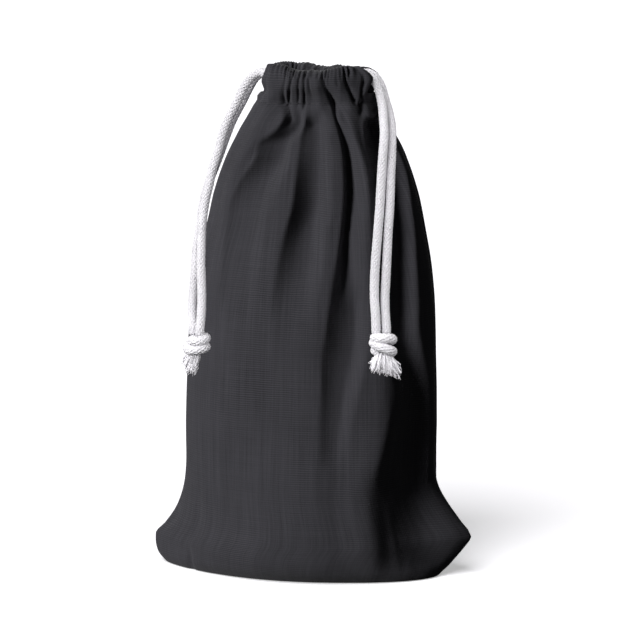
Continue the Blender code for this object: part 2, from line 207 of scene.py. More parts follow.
def newTree(name, kind, inputs, outputs):
    # inputs are named with their default, or with the kind of socket where there is none
    tree = bpy.data.node_groups.new(name, kind)
    sockets = {}
    for label, default in inputs.items():
        plain = isinstance(default, str)
        socketType = "NodeSocket" + (default if plain else socketTypes[type(default)])
        socket = tree.interface.new_socket(label, in_out="INPUT", socket_type=socketType)
        if not plain:
            socket.default_value = default
        sockets[label] = socket.identifier
    for label, socketType in outputs.items():
        tree.interface.new_socket(label, in_out="OUTPUT", socket_type="NodeSocket" + socketType)
    n = Nodes(tree)
    return n, n.add("NodeGroupInput").outputs, n.add("NodeGroupOutput").inputs, sockets


def newGrowth(name, inputs):
    # a geometry tree that takes a path and a material
    return newTree(name, "GeometryNodeTree", {"Geometry": "Geometry", **inputs, "Material": "Material"},
                   {"Geometry": "Geometry"})


def finishGrowth(n, inputs, outputs, geometry):
    smooth = n.geo("SetShadeSmooth", {"Geometry": geometry})
    real = n.geo("RealizeInstances", {"Geometry": smooth})
    n.link(n.geo("SetMaterial", {"Geometry": real, "Material": inputs["Material"]}), outputs["Geometry"])


def tubes(n, curves, radius, sides, scale=1.0):
    ring = n.geo("CurvePrimitiveCircle", {"Resolution": sides, "Radius": radius})
    return n.geo("CurveToMesh", {"Curve": curves, "Profile Curve": ring, "Scale": scale, "Fill Caps": True})


def grow(name, line, growth, material, values):
    # runs a geometry tree on the line and keeps only the plain mesh that it makes
    n, sockets = growth
    source = pathObject(name + "_path", line)
    modifier = source.modifiers.new("growth", "NODES")
    modifier.node_group = n.tree
    for label, value in {**values, "Material": material}.items():
        modifier[sockets[label]] = value
    mesh = bpy.data.meshes.new_from_object(source.evaluated_get(bpy.context.evaluated_depsgraph_get()))
    mesh.name = name
    bpy.data.objects.remove(source)
    return newObject(name, mesh)


cords = {
    "diameter": 0.0056,
    "yarnsEachWay": 8,
    "turn": 0.021,              # length in which a yarn goes once round
    "wave": 0.00016,            # how far a yarn rises over the ones it crosses
    "yarn": 0.00074,            # radius of one yarn
    "yarnSides": 5,
    "step": 0.00052,
    "coreStep": 0.0015,         # the plain core that closes the gaps between the yarns
    "coreSides": 10,
    "mouthMiddle": 0.002,
    "channelStraight": 0.01325,
    "channelRadius": 0.01425,
    "leaveAngle": 40.0,
    "upperLevel": 0.2954,
    "lowerLevel": 0.2893,
    "crossing": 0.013,          # half of the length in which the two cords change levels
    "crossingRoom": 1.14,
    "knotLead": 0.003,
}
# the free strands from the slits of the casing down to their knots, in millimetres
strands = {
    "leftFront": ((-24.6, -8, 295.8), (-29.6, -6.2, 296.4), (-34.8, -5.8, 293.6), (-38.5, -6, 288.5),
        (-43.4, -6, 279), (-48.3, -6, 269.6), (-52, -6.2, 260.1), (-54.4, -7.2, 250.6),
        (-56.8, -10, 241.5), (-58.6, -12.2, 232), (-60.2, -15.2, 223), (-61, -18.4, 214), (-61, -22, 205),
        (-60.4, -25.4, 195.5), (-59.8, -28.6, 186.5), (-58.8, -31.6, 177.5), (-57.8, -34.8, 168.5),
        (-57.1, -38.4, 159), (-56.9, -43, 148.6)),
    "leftBack": ((-24.6, 8, 295.8), (-29.6, 5.8, 296.2), (-34.6, 5.2, 293.2), (-38.2, 5, 287.8),
        (-42.9, 4.2, 278.4), (-47.6, 2.2, 269.1), (-51.2, 0.2, 259.7), (-54.4, -1, 250.2),
        (-57.6, -3, 240.8), (-61, -5, 231.5), (-63.2, -7.2, 222.1), (-64.2, -10.6, 213),
        (-64.4, -14.6, 203.9), (-64.8, -18.6, 194.8), (-64.6, -22.6, 185.8), (-64.6, -25.6, 176.7),
        (-64.8, -28, 167.5), (-64.2, -32, 158.3), (-61.8, -39.2, 148.6)),
    "rightFront": ((28.6, -8, 295.8), (33.4, -6.4, 296.2), (38, -6, 293.6), (41, -6, 288.8),
        (43, -6.8, 282.4), (44.8, -10.4, 275.8), (46.4, -15.6, 269.2), (47.7, -20.4, 262.6),
        (48, -23.9, 255.9), (47.9, -26, 249.2), (47.8, -27.6, 242.4), (47.7, -29.2, 235.6),
        (47.6, -32.2, 222), (47.1, -35.1, 208.6), (46.5, -37.6, 195), (46.1, -39.8, 181.4),
        (46.6, -42.4, 170), (47.9, -45.4, 161), (48.5, -47, 153.8)),
    "rightBack": ((28.6, 8, 295.8), (33.2, 5.8, 296.2), (37.6, 5.2, 293.6), (40.8, 4.8, 288.6),
        (43.4, 2.2, 282.1), (46.5, -2.8, 275.5), (49.3, -8.4, 268.8), (50.9, -14, 262.1),
        (51.7, -18.1, 255.4), (52.1, -21, 248.8), (52.2, -23.4, 242.2), (52.4, -25.4, 235.4),
        (52.7, -28.8, 222), (52.4, -31.8, 208.4), (52.3, -34.2, 195), (52.1, -36.6, 181),
        (52, -38.6, 170), (52.7, -41.2, 161), (53.9, -44.1, 153.8)),
}


def channelRoute(side):
    # one drawstring's way round the casing: high on its own side, low round the far end
    straight, radius = cords["channelStraight"], cords["channelRadius"]
    leave = math.radians(cords["leaveAngle"])
    near = [(straight + radius * math.sin(a), radius * math.cos(a)) for a in np.linspace(leave, 0.0, 3)]
    run = [(share * straight, radius) for share in (0.6, 0.3, 0.0, -0.3, -0.6)]
    far = [(-straight - radius * math.sin(a), radius * math.cos(a)) for a in np.linspace(0.0, math.pi / 2, 5)]
    middle = (cords["upperLevel"] + cords["lowerLevel"]) / 2.0
    halfStep = (cords["upperLevel"] - cords["lowerLevel"]) / 2.0
    half = []
    for along, across in near + run + far:
        turn = math.pi * ease((cords["crossing"] - along) / (2.0 * cords["crossing"]))
        apart = halfStep * (1.0 + (cords["crossingRoom"] - 1.0) * math.sin(turn))
        half.append((cords["mouthMiddle"] + side * along, across + side * apart * math.sin(turn),
                     middle + apart * math.cos(turn)))
    return [(x, -y, z) for x, y, z in half] + half[-2::-1]


def cordLines(front, back, side):
    # the whole drawstring as one smooth line, cut where its strands leave the casing
    line = smoothLine(list(front[::-1]) + channelRoute(side) + list(back))
    lead = np.array((0.0, 0.0, cords["knotLead"]))
    first, last = sorted(int(np.argmin(np.linalg.norm(line - end, axis=1))) for end in (front[0], back[0]))
    frontLine = np.vstack((line[:first + 1][::-1], line[0] - lead))
    backLine = np.vstack((line[last:], line[-1] - lead))
    return frontLine, line[first:last + 1], backLine


def makeBraid():
    # yarns that wind both ways round a core and rise over the ones they cross
    n, inputs, outputs, sockets = newGrowth("braid", {
        "Yarns": 8, "Turn": 0.02, "Radius": 0.002, "Wave": 0.0002, "Yarn": 0.0007, "Step": 0.0005})
    curve = n.geo("MeshToCurve", {"Mesh": inputs["Geometry"]})
    curve = n.geo("ResampleCurve", {"Curve": curve, "Length": inputs["Step"]}, mode="LENGTH")
    copies = n.copies(curve, n.times(inputs["Yarns"], 2.0))
    along = n.add("GeometryNodeSplineParameter").outputs["Length"]
    share = n.math("DIVIDE", copies["Duplicate Index"], inputs["Yarns"])
    sense = n.math("MULTIPLY_ADD", n.math("FLOOR", n.math("ADD", share, 0.001)), -2.0, 1.0)
    turns = n.math("DIVIDE", along, inputs["Turn"])
    angle = n.times(n.math("MULTIPLY_ADD", sense, turns, share), fullTurn)
    beat = n.math("COSINE", n.times(turns, inputs["Yarns"], fullTurn))
    reach = n.math("MULTIPLY_ADD", n.times(sense, inputs["Wave"]), beat, inputs["Radius"])
    normal = n.geo("InputNormal")
    binormal = n.vector("CROSS_PRODUCT", n.geo("InputTangent"), normal)
    offset = n.vector("ADD", n.scaled(normal, n.times(reach, n.math("COSINE", angle))),
                      n.scaled(binormal, n.times(reach, n.math("SINE", angle))))
    marked = n.marked(copies["Geometry"], "along", along)
    yarns = n.geo("SetPosition", {"Geometry": marked, "Offset": offset})
    ring = n.geo("CurvePrimitiveCircle", {"Resolution": cords["yarnSides"], "Radius": inputs["Yarn"]})
    around = n.times(n.geo("SplineParameter"), fullTurn)
    for name, operation in (("aroundCos", "COSINE"), ("aroundSin", "SINE")):
        ring = n.marked(ring, name, n.math(operation, around))
    wound = n.geo("CurveToMesh", {"Curve": yarns, "Profile Curve": ring, "Fill Caps": True})
    coreLine = n.geo("ResampleCurve", {"Curve": curve, "Length": cords["coreStep"]}, mode="LENGTH")
    joined = n.add("GeometryNodeJoinGeometry")
    n.link(tubes(n, coreLine, inputs["Radius"], cords["coreSides"]), joined.inputs[0])
    n.link(wound, joined.inputs[0])
    finishGrowth(n, inputs, outputs, joined.outputs[0])
    return n, sockets


braidGrowth = makeBraid()


def braid(name, line, material, size=1.0):
    # braided cotton cord along a line; size 1 is the drawstring's own thickness
    radius = (cords["diameter"] / 2.0 - cords["yarn"] - cords["wave"]) * size
    return grow(name, line, braidGrowth, material, {
        "Yarns": cords["yarnsEachWay"], "Turn": cords["turn"] * size, "Radius": radius,
        "Wave": cords["wave"] * size, "Yarn": cords["yarn"] * size, "Step": cords["step"]})


knots = {
    "braidSize": 1.1,
    "points": 90,
    "tuckShare": 0.09,          # share of the cord at each end that turns into the knot's middle
    "tuckReach": 0.35,
    "left": {"middle": (-0.0592, -0.0412), "top": 0.1453, "height": 0.0114, "wrap": 0.0052, "turns": 2.15,
             "start": 200.0, "tilt": (16.0, 20.0)},
    "right": {"middle": (0.0522, -0.0450), "top": 0.1505, "height": 0.0132, "wrap": 0.0053, "turns": 2.2,
              "start": 150.0, "tilt": (-8.0, -16.0)},
}


def knotLine(knot):
    # in at the middle, twice round the strands, and back into the middle
    half = knot["height"] / 2.0 - cords["diameter"] / 2.0
    centre = np.array((*knot["middle"], knot["top"] - knot["height"] / 2.0))
    tiltX, tiltY = (math.tan(math.radians(angle)) for angle in knot["tilt"])
    line = []
    for share in np.linspace(0.0, 1.0, knots["points"]):
        angle = math.radians(knot["start"]) + fullTurn * knot["turns"] * share
        inward = ease(min(share, 1.0 - share) / knots["tuckShare"])
        reach = knot["wrap"] * (knots["tuckReach"] + (1.0 - knots["tuckReach"]) * inward)
        x, y = reach * math.cos(angle), reach * math.sin(angle)
        fall = half * (1.0 - 2.0 * float(ease((share - 0.2) / 0.6)))
        line.append(centre + (x, y, fall + (x * tiltX + y * tiltY) * (1.0 - abs(1.0 - 2.0 * share))))
    return np.array(line)


frays = {
    "overlap": 0.0015,          # how far the fibres reach up into the knot
    # thick twisted yarns first, then the single fibres: curl, thickness, shortest
    "yarns": (0.0016, 0.00100, 0.45),
    "fibres": (0.0046, 0.00026, 0.60),
    "left": {"middle": (-0.0592, -0.0412), "top": 0.1343, "length": 0.0125, "neck": 0.0034, "spread": 0.0022,
             "flat": 0.45, "turn": -38.0, "shift": -0.0022, "lean": -0.0056, "slant": 0.15, "seed": 3,
             "yarns": 60, "fibres": 240},
    "right": {"middle": (0.0522, -0.0450), "top": 0.1377, "length": 0.0128, "neck": 0.0036, "spread": 0.0062,
              "flat": 0.42, "turn": 27.5, "shift": 0.0004, "lean": 0.0014, "slant": 0.22, "seed": 8,
              "yarns": 60, "fibres": 300},
}


def makeFrayGrowth():
    # loose fibres that hang from the knot, spread, curl and end unevenly
    n, inputs, outputs, sockets = newGrowth("fray", {
        "Fibres": 200, "Length": 0.012, "Neck": 0.003, "Spread": 0.004, "Flat": 0.5, "Shift": 0.0,
        "Lean": 0.0, "Slant": 0.0, "Curl": 0.001, "Thickness": 0.0003, "Shortest": 0.55, "Seed": 1})
    line = n.geo("CurvePrimitiveLine", {"Start": (0.0, 0.0, 0.0), "End": (0.0, 0.0, -0.001)})
    line = n.geo("ResampleCurve", {"Curve": line, "Count": 10}, mode="COUNT")
    copies = n.copies(line, inputs["Fibres"])

    def draw(low, high, offset):
        # a random value for each fibre
        seed = n.math("ADD", inputs["Seed"], float(offset))
        values = {2: low, 3: high, "ID": copies["Duplicate Index"], "Seed": seed}
        return n.add("FunctionNodeRandomValue", values, data_type="FLOAT").outputs[1]

    share = n.geo("SplineParameter")
    angle = draw(0.0, fullTurn, 11)
    out = n.math("SQRT", draw(0.0, 1.0, 23))
    cosine, sine = n.math("COSINE", angle), n.math("SINE", angle)
    opened = n.times(n.math("POWER", share, 1.3), inputs["Spread"])
    reach = n.times(n.math("ADD", inputs["Neck"], opened), out)
    thin = n.math("MULTIPLY_ADD", n.math("SUBTRACT", inputs["Flat"], 1.0), share, 1.0)
    lean = n.math("MULTIPLY_ADD", n.math("POWER", share, 1.5), inputs["Lean"], inputs["Shift"])
    span = n.times(inputs["Length"], n.math("ADD", draw(0.0, 0.45, 31), inputs["Shortest"]))
    span = n.times(span, n.math("MULTIPLY_ADD", n.times(out, cosine), inputs["Slant"], 1.0))
    place = n.xyz(n.math("ADD", n.times(reach, cosine), lean), n.times(reach, sine, thin),
                  n.times(span, share, -1.0))
    wild = n.noise(n.xyz(n.times(angle, 7.3), n.times(out, 19.0), n.times(share, 2.6)), 1.0, 2.0)["Color"]
    swing = n.scaled(n.vector("SUBTRACT", wild, (0.5, 0.5, 0.5)), n.times(inputs["Curl"], share, 2.0))
    moved = n.geo("SetPosition", {"Geometry": copies["Geometry"], "Position": n.vector("ADD", place, swing)})
    size = n.times(draw(0.6, 1.2, 47), n.math("MULTIPLY_ADD", share, -0.45, 1.0))
    finishGrowth(n, inputs, outputs, tubes(n, moved, inputs["Thickness"], 4, size))
    return n, sockets


frayGrowth = makeFrayGrowth()


def joinInto(name, parts):
    # one mesh out of several, keeping their attributes
    with bpy.context.temp_override(active_object=parts[0], selected_editable_objects=parts,
                                   selected_objects=parts, object=parts[0]):
        bpy.ops.object.join()
    parts[0].name = parts[0].data.name = name
    return parts[0]


def makeFray(side, material):
    fray = frays[side]
    labels = ("Length", "Neck", "Spread", "Flat", "Shift", "Lean", "Slant", "Seed")
    shape = {label: fray[label.lower()] for label in labels}
    grown = []
    for part in ("yarns", "fibres"):
        curl, thickness, shortest = frays[part]
        grown.append(grow("fray_" + side + "_" + part, ((0, 0, 0), (0, 0, -0.001)), frayGrowth, material, {
            **shape, "Fibres": fray[part], "Curl": curl, "Thickness": thickness, "Shortest": shortest}))
    tuft = joinInto("frayed_ends_" + side, grown)
    turn = math.radians(fray["turn"])
    for vertex in tuft.data.vertices:
        x, y, z = vertex.co
        vertex.co = (fray["middle"][0] + x * math.cos(turn) - y * math.sin(turn),
                     fray["middle"][1] + x * math.sin(turn) + y * math.cos(turn),
                     fray["top"] + frays["overlap"] + z)
    return tuft


def makeFibreGroup():
    # soft mottling and fine fuzz of cotton, for the cloth, the thread and the cord alike
    n, inputs, outputs, _ = newTree(
        "cottonFibre", "ShaderNodeTree", {"Vector": "Vector", "Fuzz scale": 2500.0, "Mottle scale": 60.0},
        {"Shade": "Float", "Height": "Float"})
    fuzz = n.noise(inputs["Vector"], inputs["Fuzz scale"], 3.0, 0.6)["Fac"]
    mottle = n.noise(inputs["Vector"], inputs["Mottle scale"], 4.0, 0.55)["Fac"]
    n.link(n.math("ADD", n.math("MULTIPLY_ADD", fuzz, 0.25, 0.25), n.times(mottle, 0.5)), outputs["Shade"])
    n.link(fuzz, outputs["Height"])
    return n.tree


fibreGroup = makeFibreGroup()

finishes = {
    "charcoalCotton": {
        "roughness": 0.86, "sheen": 0.08, "sheenRoughness": 0.6, "specular": 0.22,
        "dark": (0.0085, 0.0082, 0.0105), "light": (0.073, 0.071, 0.083),
        "fuzz": 2600.0, "mottle": 28.0, "bump": 0.6, "relief": 0.00022},
    "whiteCotton": {
        "roughness": 0.80, "sheen": 0.25, "sheenRoughness": 0.5, "specular": 0.25,
        "dark": (0.66, 0.645, 0.68), "light": (0.90, 0.885, 0.92),
        "fuzz": 4200.0, "mottle": 300.0, "bump": 0.5, "relief": 0.00015},
    "charcoalThread": {
        "roughness": 0.6, "sheen": 0.05, "sheenRoughness": 0.5, "specular": 0.4,
        "dark": (0.012, 0.0115, 0.014), "light": (0.040, 0.038, 0.046),
        "fuzz": 5200.0, "mottle": 400.0},
    "paleFloor": {              # light to the camera, dark to the light that it throws back at the bag
        "roughness": 0.9, "sheen": 0.0, "sheenRoughness": 0.5, "specular": 0.0,
        "dark": (0.03, 0.03, 0.03), "light": (0.92, 0.91, 0.95)},
}
weave = {
    "pitch": 0.00065,           # one thread to the next
    "wobble": 0.0011,           # how far the threads stray from straight
    "wobbleScale": 90.0,
    # uneven threads: changes in a metre up and across, detail, weight in the shade and in the relief
    "warpSlubs": (24.0, 1150.0, 2.0, 0.5, 0.9),
    "weftSlubs": (1150.0, 22.0, 2.0, 0.22, 0.6),
    "streaks": (7.0, 240.0, 3.0, 0.35, 0.0),
    "threads": (0.6, 0.7),      # weight of the single threads in the shade and in the relief
    "ribs": 0.2,                # weight of every other weft thread
    "fibres": 0.5,
    "patches": (16.0, 0.12),    # changes in a metre, and how clear the weave is where it is faintest
}
yarn = {
    "twist": 0.0011,            # length in which a fibre goes once round its yarn
    "twistShade": 0.08,
    "twistRelief": 0.4,
    "fibreShade": 0.8,
}


def newFinish(name):
    finish = finishes[name]
    material = bpy.data.materials.new(name)
    material.use_nodes = True
    inputs = material.node_tree.nodes["Principled BSDF"].inputs
    for label, key in (("Roughness", "roughness"), ("Sheen Weight", "sheen"),
                       ("Sheen Roughness", "sheenRoughness"), ("Specular IOR Level", "specular")):
        inputs[label].default_value = finish[key]
    return material, Nodes(material.node_tree), inputs, finish


def cottonFibre(n, finish):
    place = n.add("ShaderNodeTexCoord").outputs["Object"]
    return n.add("ShaderNodeGroup", {"Vector": place, "Fuzz scale": finish["fuzz"],
                                     "Mottle scale": finish["mottle"]}, node_tree=fibreGroup).outputs


def addColour(n, inputs, finish, share):
    mixed = n.add("ShaderNodeMix", {"Factor": share, 6: (*finish["dark"], 1.0), 7: (*finish["light"], 1.0)},
                  data_type="RGBA").outputs[2]
    n.link(mixed, inputs["Base Color"])


def addRelief(n, inputs, finish, height):
    bump = n.add("ShaderNodeBump", {"Height": height, "Strength": finish["bump"],
                                    "Distance": finish["relief"]})
    n.link(bump.outputs[0], inputs["Normal"])


def makeClothFinish():
    # plain weave along the cloth's own UV map, in metres: warp up the bag, weft across it
    material, n, inputs, finish = newFinish("charcoalCotton")
    uv = n.add("ShaderNodeUVMap", uv_map="weave").outputs["UV"]
    wobble = n.vector("SUBTRACT", n.noise(uv, weave["wobbleScale"], 2.0)["Color"], (0.5, 0.5, 0.5))
    split = n.add("ShaderNodeSeparateXYZ", {0: n.vector("ADD", uv, n.scaled(wobble, weave["wobble"]))})
    warp, weft = (n.times(split.outputs[axis], fullTurn / weave["pitch"]) for axis in (0, 1))
    ribs = n.math("SINE", n.times(weft, 0.5))
    over = n.math("GREATER_THAN", n.times(n.math("SINE", n.times(warp, 0.5)), ribs), 0.0)
    warpTop, weftTop = (n.math("MULTIPLY_ADD", n.math("COSINE", way), -0.25, 0.5) for way in (warp, weft))
    height = n.math("ADD", n.times(warpTop, over), n.times(weftTop, n.math("SUBTRACT", 1.0, over)))
    inShade, inRelief = [], []
    for key in ("warpSlubs", "weftSlubs", "streaks"):
        up, across, detail, shadeWeight, reliefWeight = weave[key]
        stretched = n.add("ShaderNodeMapping", {"Vector": uv, "Scale": (across, up, 1.0)}).outputs[0]
        slubs = n.noise(stretched, 1.0, detail, 0.6)["Fac"]
        inShade.append((slubs, 0.5, shadeWeight))
        inRelief.append((slubs, 0.5, reliefWeight))
    patchScale, faintest = weave["patches"]
    clear = n.ranged(n.noise(uv, patchScale, 2.0)["Fac"], 0.38, 0.62, faintest)
    clearRibs = (ribs, 0.0, n.times(clear, weave["ribs"]))
    threadShade, threadRelief = weave["threads"]
    shade = n.blend(0.5, *inShade, (cottonFibre(n, finish)["Shade"], 0.62, weave["fibres"]),
                    (height, 0.5, n.times(clear, threadShade)), clearRibs)
    addColour(n, inputs, finish, n.math("MAXIMUM", n.math("MINIMUM", shade, 1.0), 0.0))
    addRelief(n, inputs, finish, n.blend(0.5, (height, 0.5, threadRelief), *inRelief, clearRibs))
    return material


def makeCordFinish():
    # off-white cotton yarn, with the twist of its fibres running round each yarn
    material, n, inputs, finish = newFinish("whiteCotton")
    along, aroundCos, aroundSin = (n.add("ShaderNodeAttribute", attribute_name=name).outputs["Fac"]
                                   for name in ("along", "aroundCos", "aroundSin"))
    phase = n.times(along, fullTurn / yarn["twist"])
    twist = n.math("ADD", n.times(n.math("SINE", phase), aroundCos),
                   n.times(n.math("COSINE", phase), aroundSin))
    fibre = cottonFibre(n, finish)
    shade = n.math("ADD", n.times(fibre["Shade"], yarn["fibreShade"]), n.times(twist, yarn["twistShade"]))
    addColour(n, inputs, finish, n.ranged(shade, 0.2, 0.62))
    addRelief(n, inputs, finish, n.math("ADD", n.times(twist, yarn["twistRelief"]), fibre["Height"]))
    return material


def makeThreadFinish():
    # dyed sewing thread, a little glossier than the cloth
    material, n, inputs, finish = newFinish("charcoalThread")
    addColour(n, inputs, finish, cottonFibre(n, finish)["Shade"])
    return material


clothFinish, cordFinish, threadFinish = makeClothFinish(), makeCordFinish(), makeThreadFinish()
print("materials made")


drawstrings = {
    "left": ("leftFront", "leftBack", -1.0),
    "right": ("rightFront", "rightBack", 1.0),
}
routes = {}
pieces = {}
for side, (frontName, backName, sign) in drawstrings.items():
    front, back = (np.array(strands[name]) * mm for name in (frontName, backName))
    frontLine, ringLine, backLine = cordLines(front, back, sign)
    routes[frontName], routes[backName] = frontLine, backLine
    for name, line in (("strand_" + frontName, frontLine), ("strand_" + backName, backLine),
                       ("cord_in_casing_" + side, ringLine)):
        pieces[name] = braid(name, line, cordFinish)
    pieces["knot_" + side] = braid("knot_" + side + "_wraps", knotLine(knots[side]), cordFinish,
                                   knots["braidSize"])
    pieces["fray_" + side] = makeFray(side, cordFinish)
    print("drawstring made:", side, round(lengthOf(frontLine), 4), round(lengthOf(backLine), 4))


bag = {                         # in millimetres
    "thickness": 0.9,
    "columns": 168,             # columns of the mesh across each panel
    "crowd": (0.56, 0.26, 0.9),     # where the columns lie closer together: middle, reach, how much
    "seamSpread": 2.2,          # how far the panels stand off each other beside a side seam
    "proud": 0.4,               # outer face over the solid's middle surface
    "turnIn": (0.985, 0.97, 0.35),  # the edge where the sole turns up: shares of width and depth, rise
    "soleShrink": (0.965, 0.93),
    "soleRows": 20,
    "soleEdge": 1.6,            # height of the body's lowest row
    "earTop": 24.0,
    "earStep": 2.0,
    "middleRows": 46,
    "gathersFrom": 206.0,
    "gatherRows": 47,
    "flatWidth": 200.0,
    "flatLength": 770.0,
    "mouthX": 2.0,
    "stitchHeight": 279.5,
    "channelStraight": 13.25,
    "channelRadius": 14.25,
    "casingReach": 5.6,         # the casing's outer face off the channel's middle
    "casingRows": 27,
    "slit": 5.0 / 44.0,         # share of each panel left open beside a side seam
    "slitRise": 6.5,            # the seam is open from this far above the stitches
    "crossing": 13.0,
    "crossingBulge": 3.4,
    "bulgeRise": (4.0, 10.0),
    "hookReach": 0.085,         # share of the panel over which its end is drawn out over the cord
}
# reach of the cloth at each height; an edge of 1 is a round end, 2.5 a flat ear
sectionTable = (
    # z, left, right, front, back, left edge, right edge
    (1.6, 91.5, 79, 38.5, 38.5, 1.7, 0.95),
    (5, 94.6, 82.6, 43, 43, 1.9, 1.2),
    (10.5, 96.6, 87.4, 46.6, 46.4, 2.2, 1.7),
    (17, 96.8, 92.6, 48.6, 48.4, 2.2, 2.1),
    (24, 90.8, 96.8, 49.4, 49.2, 2, 2.3),
    (33, 84.4, 90.4, 49.8, 49.6, 1.7, 2.1),
    (44, 79.8, 82.2, 49.9, 49.6, 1.35, 1.6),
    (56, 77, 75.6, 49.8, 49.4, 1.15, 1.2),
    (90, 76, 75, 49.4, 49, 1, 1),
    (132, 74.4, 74.4, 48.6, 48.2, 1, 1),
    (162, 72.4, 73.6, 47.2, 47, 1, 1),
    (187, 68, 71, 45, 45.2, 1, 1),
    (209, 62, 67, 42, 42.4, 1, 1),
    (228, 57.6, 63, 38.4, 39, 1, 1),
    (245, 51.6, 57.4, 34.4, 34.8, 1, 1),
    (259, 44.8, 51, 30, 30.4, 1, 1),
    (270, 38.4, 43, 25.4, 25.8, 1, 0.95),
)
# up the outside of the casing, over the rim and down the hem
casingTable = (
    (3.6, 0), (5.1, 4.5), (5.6, 10.5), (5.2, 16.9), (2.9, 20.3), (-2, 20.5), (-4.9, 16.9), (-5.4, 10.5),
    (-4.2, 4.5), (1.4, 0.9),
)
# how far the round ends stand outward of the solid, by height
endPushes = {
    "left": ((262, 0), (270, 0.2), (275.5, 2), (279.5, 4.2), (281.7, 3), (287, -2), (291.8, -0.6),
        (298.3, -3.6), (301, -3.6)),
    "right": ((262, 0), (266, 0.4), (270, 1.2), (275.5, 3.2), (279.5, 5.6), (284, 3), (289.8, -0.6),
        (292.2, 0), (301, 0)),
}
# how far the right end of the casing reaches out over the drawstring, by height
hooks = (
    (284, 0), (287, 3), (289.8, 5), (292.2, 6), (294.6, 6.2), (297.8, 4.6), (300, 2.6), (302, 2.2),
)
